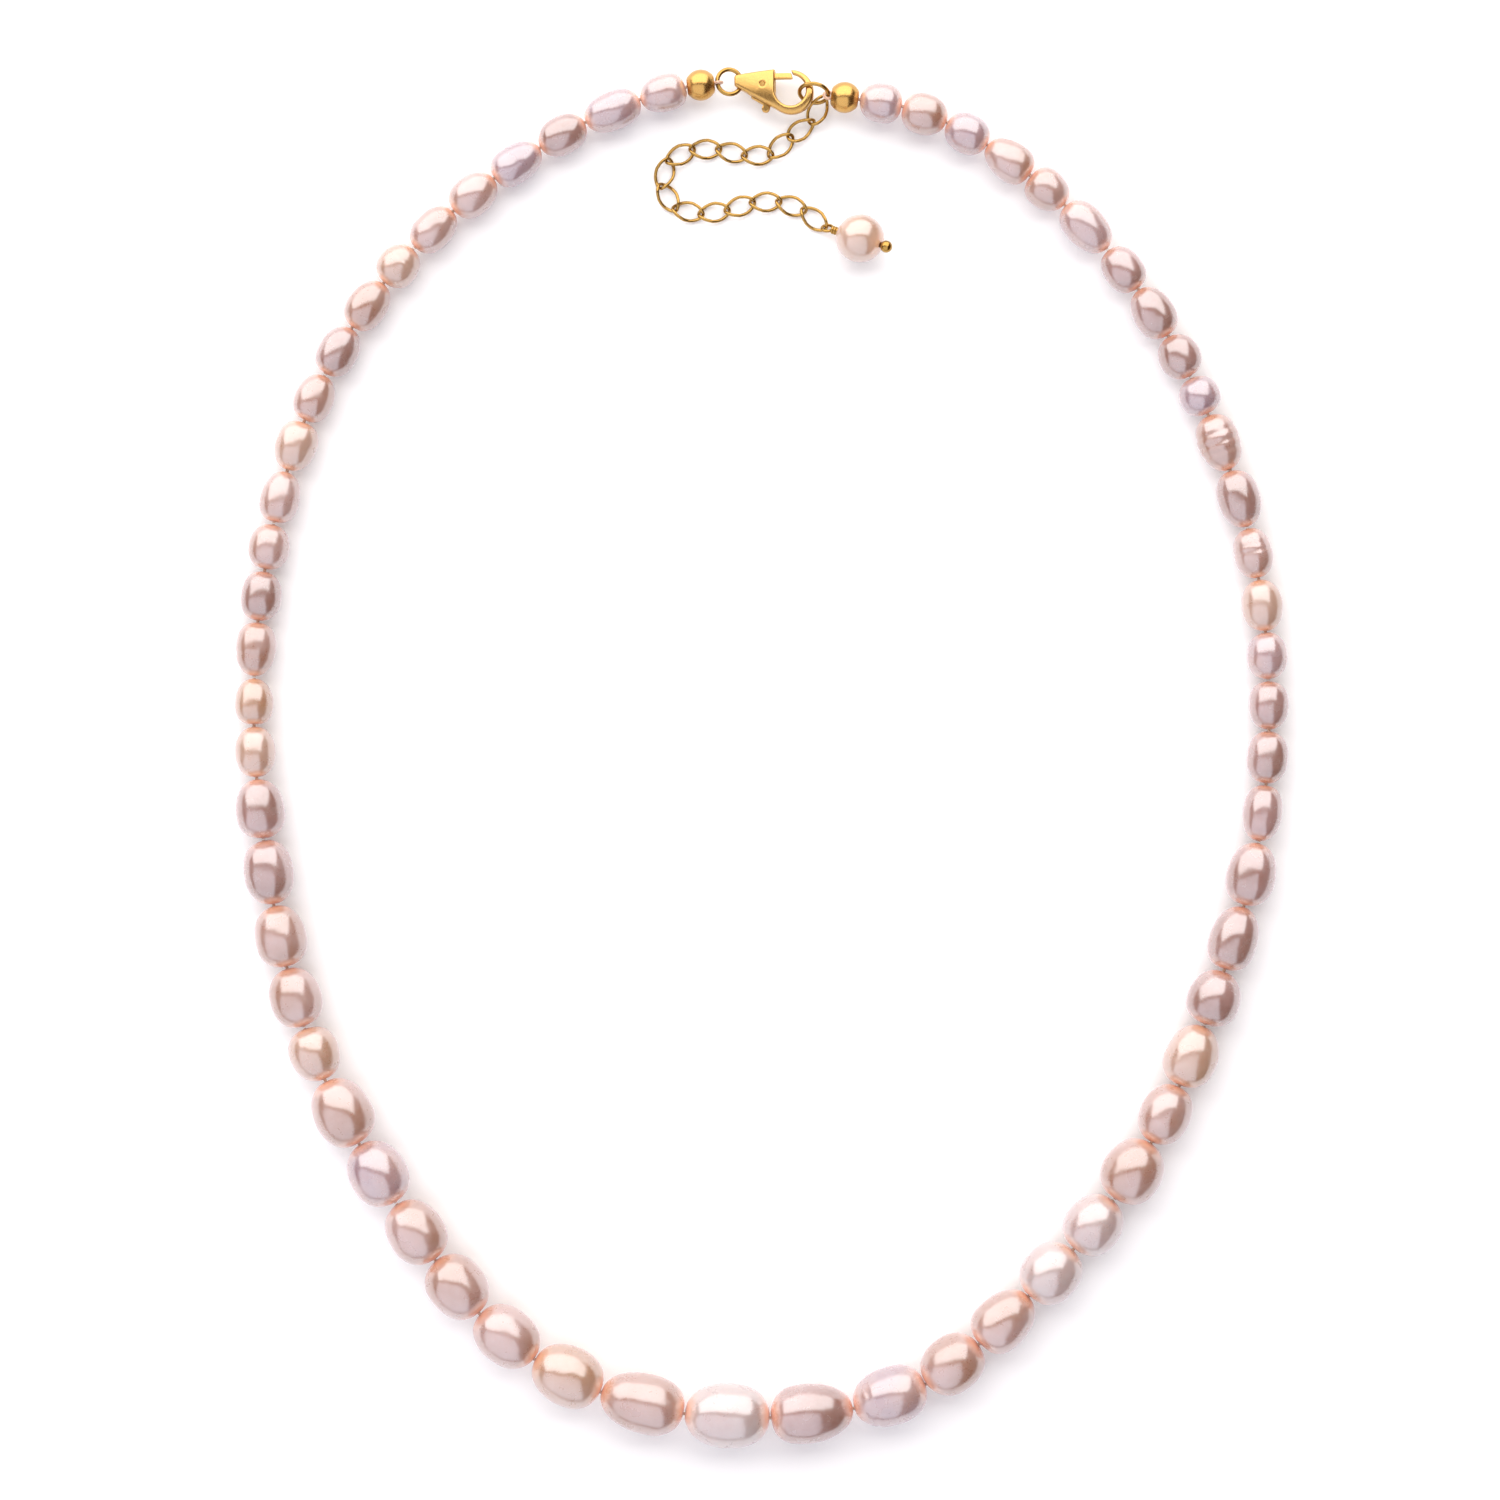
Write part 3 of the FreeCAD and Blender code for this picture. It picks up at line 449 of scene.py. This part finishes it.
def polished_metal(name, colour, roughness, wave_scale, wave_height):
    """One metal: its colour, its roughness, and the size and height of its waves."""
    material = bpy.data.materials.new(name)
    material.use_nodes = True
    tree = material.node_tree
    surface = tree.nodes["Principled BSDF"]
    marks = tree.nodes.new("ShaderNodeGroup")
    marks.node_tree = POLISH
    marks.inputs["Wave Scale"].default_value = wave_scale
    dull = tuple(SCRATCH_DULLING * part for part in colour)
    tree.links.new(blend_colour(tree, marks.outputs["Wear"], colour, dull),
                   surface.inputs["Base Color"])
    rough = stretch(tree, marks.outputs["Wear"], 0.0, 1.0, roughness, roughness + SCRATCH_SPREAD)
    tree.links.new(rough, surface.inputs["Roughness"])
    relief = tree.nodes.new("ShaderNodeBump")
    relief.inputs["Strength"].default_value = 0.5
    relief.inputs["Distance"].default_value = wave_height
    tree.links.new(marks.outputs["Relief"], relief.inputs["Height"])
    tree.links.new(relief.outputs["Normal"], surface.inputs["Normal"])
    surface.inputs["Metallic"].default_value = 1.0
    return material


def finish_node(node, material):
    """Gives a piece that stays as built its material."""
    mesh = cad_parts[node].data
    mesh.materials.clear()
    mesh.materials.append(material)


BALL_GOLD = polished_metal("ball_gold", (0.62, 0.36, 0.11), 0.24, 500.0, 0.004 * MM)
CLASP_GOLD = polished_metal("clasp_gold", (0.62, 0.37, 0.12), 0.2, 400.0, 0.003 * MM)
WIRE_GOLD = polished_metal("wire_gold", (0.44, 0.26, 0.07), 0.16, 1500.0, 0.006 * MM)
LINK_COUNT = 15
finish_node("clasp_pin", CLASP_GOLD)
for node in ("crimp_left", "crimp_right"):
    finish_node(node, BALL_GOLD)
for node in ("jump_ring", "extender_ring", "head_pin"):
    finish_node(node, WIRE_GOLD)
for number in range(1, LINK_COUNT + 1):
    finish_node(f"chain_link_{number:02d}", WIRE_GOLD)


# ---------------------------------------------------------------- clasp
# A lobster clasp cast in two pieces, body and lever, riveted together and tumbled until every
# edge is soft. The thumb tab of the lever stands out under the body.
GRAIN = 0.05 * MM           # finest shape kept in the casting
TUMBLING = 45               # rounds of softening
CROWN = 0.4 * MM            # how much thinner the clasp is at its long edges than at its middle

jump_low, jump_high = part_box("jump_ring")
hold_low, hold_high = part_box("extender_ring")
clasp_low, clasp_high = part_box("clasp_body")
clasp_middle = (clasp_low + clasp_high) / 2
clasp_way = hold_low + hold_high - jump_low - jump_high
across_clasp = clasp_way.cross(Vector((0, 0, 1))).normalized()
half_width = max(abs((v.co - clasp_middle).dot(across_clasp))
                 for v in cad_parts["clasp_body"].data.vertices)
half_thickness = (clasp_high.z - clasp_low.z) / 2

SPRING_STEEL = polished_metal("spring_steel", (0.50, 0.51, 0.53), 0.28, 1200.0, 0.004 * MM)
finish_node("clasp_spring", SPRING_STEEL)


def tumbled(name, node, body):
    """A crowned and softened copy of a cast piece, standing for the node."""
    piece = solids_of(node)[0]
    piece.name = name
    piece.data.name = name
    use_modifier(piece, "REMESH", mode="VOXEL", voxel_size=GRAIN)
    for vertex in piece.data.vertices:
        offset = vertex.co - clasp_middle
        edge_share = min(1.0, abs(offset.dot(across_clasp)) / half_width)
        vertex.co.z -= CROWN * edge_share ** 2 * offset.z / half_thickness
    use_modifier(piece, "SMOOTH", factor=0.5, iterations=TUMBLING)
    only(piece)
    bpy.ops.object.shade_smooth()
    piece.data.materials.clear()
    piece.data.materials.append(CLASP_GOLD)
    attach(piece, body)
    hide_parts(node)


tumbled("clasp_cast_body", "clasp_body", "clasp")
tumbled("clasp_cast_lever", "clasp_lever", "lever")


# ---------------------------------------------------------------- crimp covers
# Each end of the strand is hidden in a hollow gold ball, folded shut over the crimp from a thin
# shell: a bead runs round each opening and a fine seam stays open along the underside.
COVER_SHEET = 0.3 * MM
COVER_SEGMENTS = 72
LIP_HEIGHT = 0.07 * MM
LIP_WIDTH = 0.1 * MM
LIP_BEVEL = 0.04 * MM
SEAM_STEPS = 0.6            # half the seam's width, in steps of the ball's segments
FLAT_RANGE = (0.8, 0.93)    # how far from the centre a cover's flat ends lie, in radii


def cover_axis(node, towards):
    """Centre of the ball and the direction of its flats, the clasp side first."""
    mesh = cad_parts[node].data
    low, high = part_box(node)
    centre = (low + high) / 2
    ball_r = max((v.co - centre).length for v in mesh.vertices)
    flat = [f for f in mesh.polygons
            if FLAT_RANGE[0] < f.normal.dot(f.center - centre) / ball_r < FLAT_RANGE[1]]
    axis = max(flat, key=lambda f: f.area).normal.copy()
    if axis.dot(towards - centre) < 0:
        axis.negate()
    half = sum(abs(f.normal.dot(f.center - centre)) for f in flat) / len(flat)
    return centre, axis.normalized(), ball_r, half


def crimp_cover(side, towards):
    """A folded cover on one side, standing for the solid one."""
    node = f"crimp_cover_{side}"
    centre, axis, ball_r, half = cover_axis(node, towards)
    turn = axis.to_track_quat("Z", "Y").to_euler()
    bpy.ops.mesh.primitive_uv_sphere_add(segments=COVER_SEGMENTS, ring_count=48, radius=ball_r,
                                         location=centre, rotation=turn)
    ball = bpy.context.active_object
    ball.name = f"crimp_cover_ball_{side}"
    bpy.ops.object.transform_apply(location=True, rotation=True, scale=True)
    down = Vector((0, 0, -1))
    seam_way = (down - axis * down.dot(axis)).normalized()
    step = 2 * math.pi / COVER_SEGMENTS
    bpy.ops.object.mode_set(mode="EDIT")
    bpy.ops.mesh.select_mode(type="FACE")
    bpy.ops.object.mode_set(mode="OBJECT")
    for polygon in ball.data.polygons:
        offset = polygon.center - centre
        out = (offset - axis * offset.dot(axis)).normalized()
        at_end = abs(offset.dot(axis)) > half
        polygon.select = at_end or out.angle(seam_way) < SEAM_STEPS * step
    bpy.ops.object.mode_set(mode="EDIT")
    bpy.ops.mesh.delete(type="FACE")
    bpy.ops.object.mode_set(mode="OBJECT")
    for way in (-1, 1):
        growth_ring(ball, centre, axis, way * (half - 1.5 * LIP_WIDTH), LIP_WIDTH, -LIP_HEIGHT)
    use_modifier(ball, "SOLIDIFY", thickness=COVER_SHEET, offset=-1)
    use_modifier(ball, "BEVEL", width=LIP_BEVEL, segments=2, limit_method="ANGLE",
                 angle_limit=math.radians(50))
    only(ball)
    bpy.ops.object.shade_smooth_by_angle(angle=math.radians(40))
    ball.data.materials.append(BALL_GOLD)
    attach(ball, f"{side}_7")
    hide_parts(node)


crimp_cover("left", clasp_middle)
crimp_cover("right", clasp_middle)


# ---------------------------------------------------------------- thread
# Peach beading silk, three plies twisted. It shows in the gaps between pearls and in the loops
# round the two rings.
def silk():
    material = bpy.data.materials.new("beading_silk")
    material.use_nodes = True
    tree = material.node_tree
    surface = tree.nodes["Principled BSDF"]
    place = tree.nodes.new("ShaderNodeTexCoord")
    plies = tree.nodes.new("ShaderNodeTexWave")
    plies.bands_direction = "DIAGONAL"
    plies.inputs["Scale"].default_value = 1400.0
    plies.inputs["Distortion"].default_value = 1.5
    tree.links.new(place.outputs["Object"], plies.inputs["Vector"])
    tree.links.new(blend_colour(tree, plies.outputs["Fac"], (0.62, 0.34, 0.22), (0.84, 0.56, 0.40)),
                   surface.inputs["Base Color"])
    relief = tree.nodes.new("ShaderNodeBump")
    relief.inputs["Distance"].default_value = 0.05 * MM
    tree.links.new(plies.outputs["Fac"], relief.inputs["Height"])
    tree.links.new(relief.outputs["Normal"], surface.inputs["Normal"])
    surface.inputs["Roughness"].default_value = 0.55
    surface.inputs["Sheen Weight"].default_value = 0.4
    return material


SILK = silk()
for node in [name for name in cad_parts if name.startswith("thread_")]:
    finish_node(node, SILK)


# ---------------------------------------------------------------- table, light and camera
# A white table, a broad soft light above the clasp side and a lower one at the front, with dim
# surroundings between them, as in a light tent with its sides open.
TABLE_SIZE = 1.6
TABLE_DROP = 0.05 * MM      # how far the table lies under the necklace
bpy.ops.mesh.primitive_plane_add(size=TABLE_SIZE, location=(0, 0, -TABLE_DROP))
table_top = bpy.context.active_object
table_top.name = "table_top"
paper = bpy.data.materials.new("white_paper")
paper.use_nodes = True
paper_surface = paper.node_tree.nodes["Principled BSDF"]
paper_surface.inputs["Base Color"].default_value = (0.97, 0.97, 0.97, 1)
paper_surface.inputs["Roughness"].default_value = 0.9
table_top.data.materials.append(paper)


def softbox(name, place, aim, size, power, tint):
    """A rectangular soft light at a place, turned towards a point."""
    lamp = bpy.data.lights.new(name, "AREA")
    lamp.shape = "RECTANGLE"
    lamp.size, lamp.size_y = size
    lamp.energy = power
    lamp.color = tint
    holder = bpy.data.objects.new(name, lamp)
    holder.location = place
    holder.rotation_euler = (Vector(aim) - Vector(place)).to_track_quat("-Z", "Y").to_euler()
    bpy.context.scene.collection.objects.link(holder)


softbox("back_softbox", place=(-0.37, 0.75, 0.46), aim=(-0.37, 0.30, 0), size=(2.4, 1.38),
        power=28.5, tint=(1.0, 0.99, 0.975))
softbox("front_softbox", place=(-0.62, -0.58, 0.52), aim=(-0.62, -0.25, 0), size=(2.0, 1.42),
        power=12.5, tint=(0.88, 0.91, 1.0))

world = bpy.data.worlds.new("studio")
bpy.context.scene.world = world
world.use_nodes = True
sky = world.node_tree
backdrop = sky.nodes["Background"]
backdrop.inputs["Color"].default_value = (0.12, 0.075, 0.055, 1)
backdrop.inputs["Strength"].default_value = 1.0
seen = sky.nodes.new("ShaderNodeBackground")
seen.inputs["Color"].default_value = (1, 1, 1, 1)
either = sky.nodes.new("ShaderNodeMixShader")
rays = sky.nodes.new("ShaderNodeLightPath")
sky.links.new(rays.outputs["Is Camera Ray"], either.inputs["Fac"])
sky.links.new(backdrop.outputs["Background"], either.inputs[1])
sky.links.new(seen.outputs["Background"], either.inputs[2])
sky.links.new(either.outputs["Shader"], sky.nodes["World Output"].inputs["Surface"])
bpy.context.scene.view_settings.view_transform = "Standard"

VIEW_WIDTH = 185.5 * MM
LENS = 100.0
SENSOR = 36.0
camera = bpy.data.objects.new("camera", bpy.data.cameras.new("camera"))
camera.data.lens = LENS
camera.data.sensor_width = SENSOR
camera.data.clip_start = 0.01
camera.location = (-1.35 * MM, 1.0 * MM, VIEW_WIDTH * LENS / SENSOR)
bpy.context.scene.collection.objects.link(camera)
bpy.context.scene.camera = camera
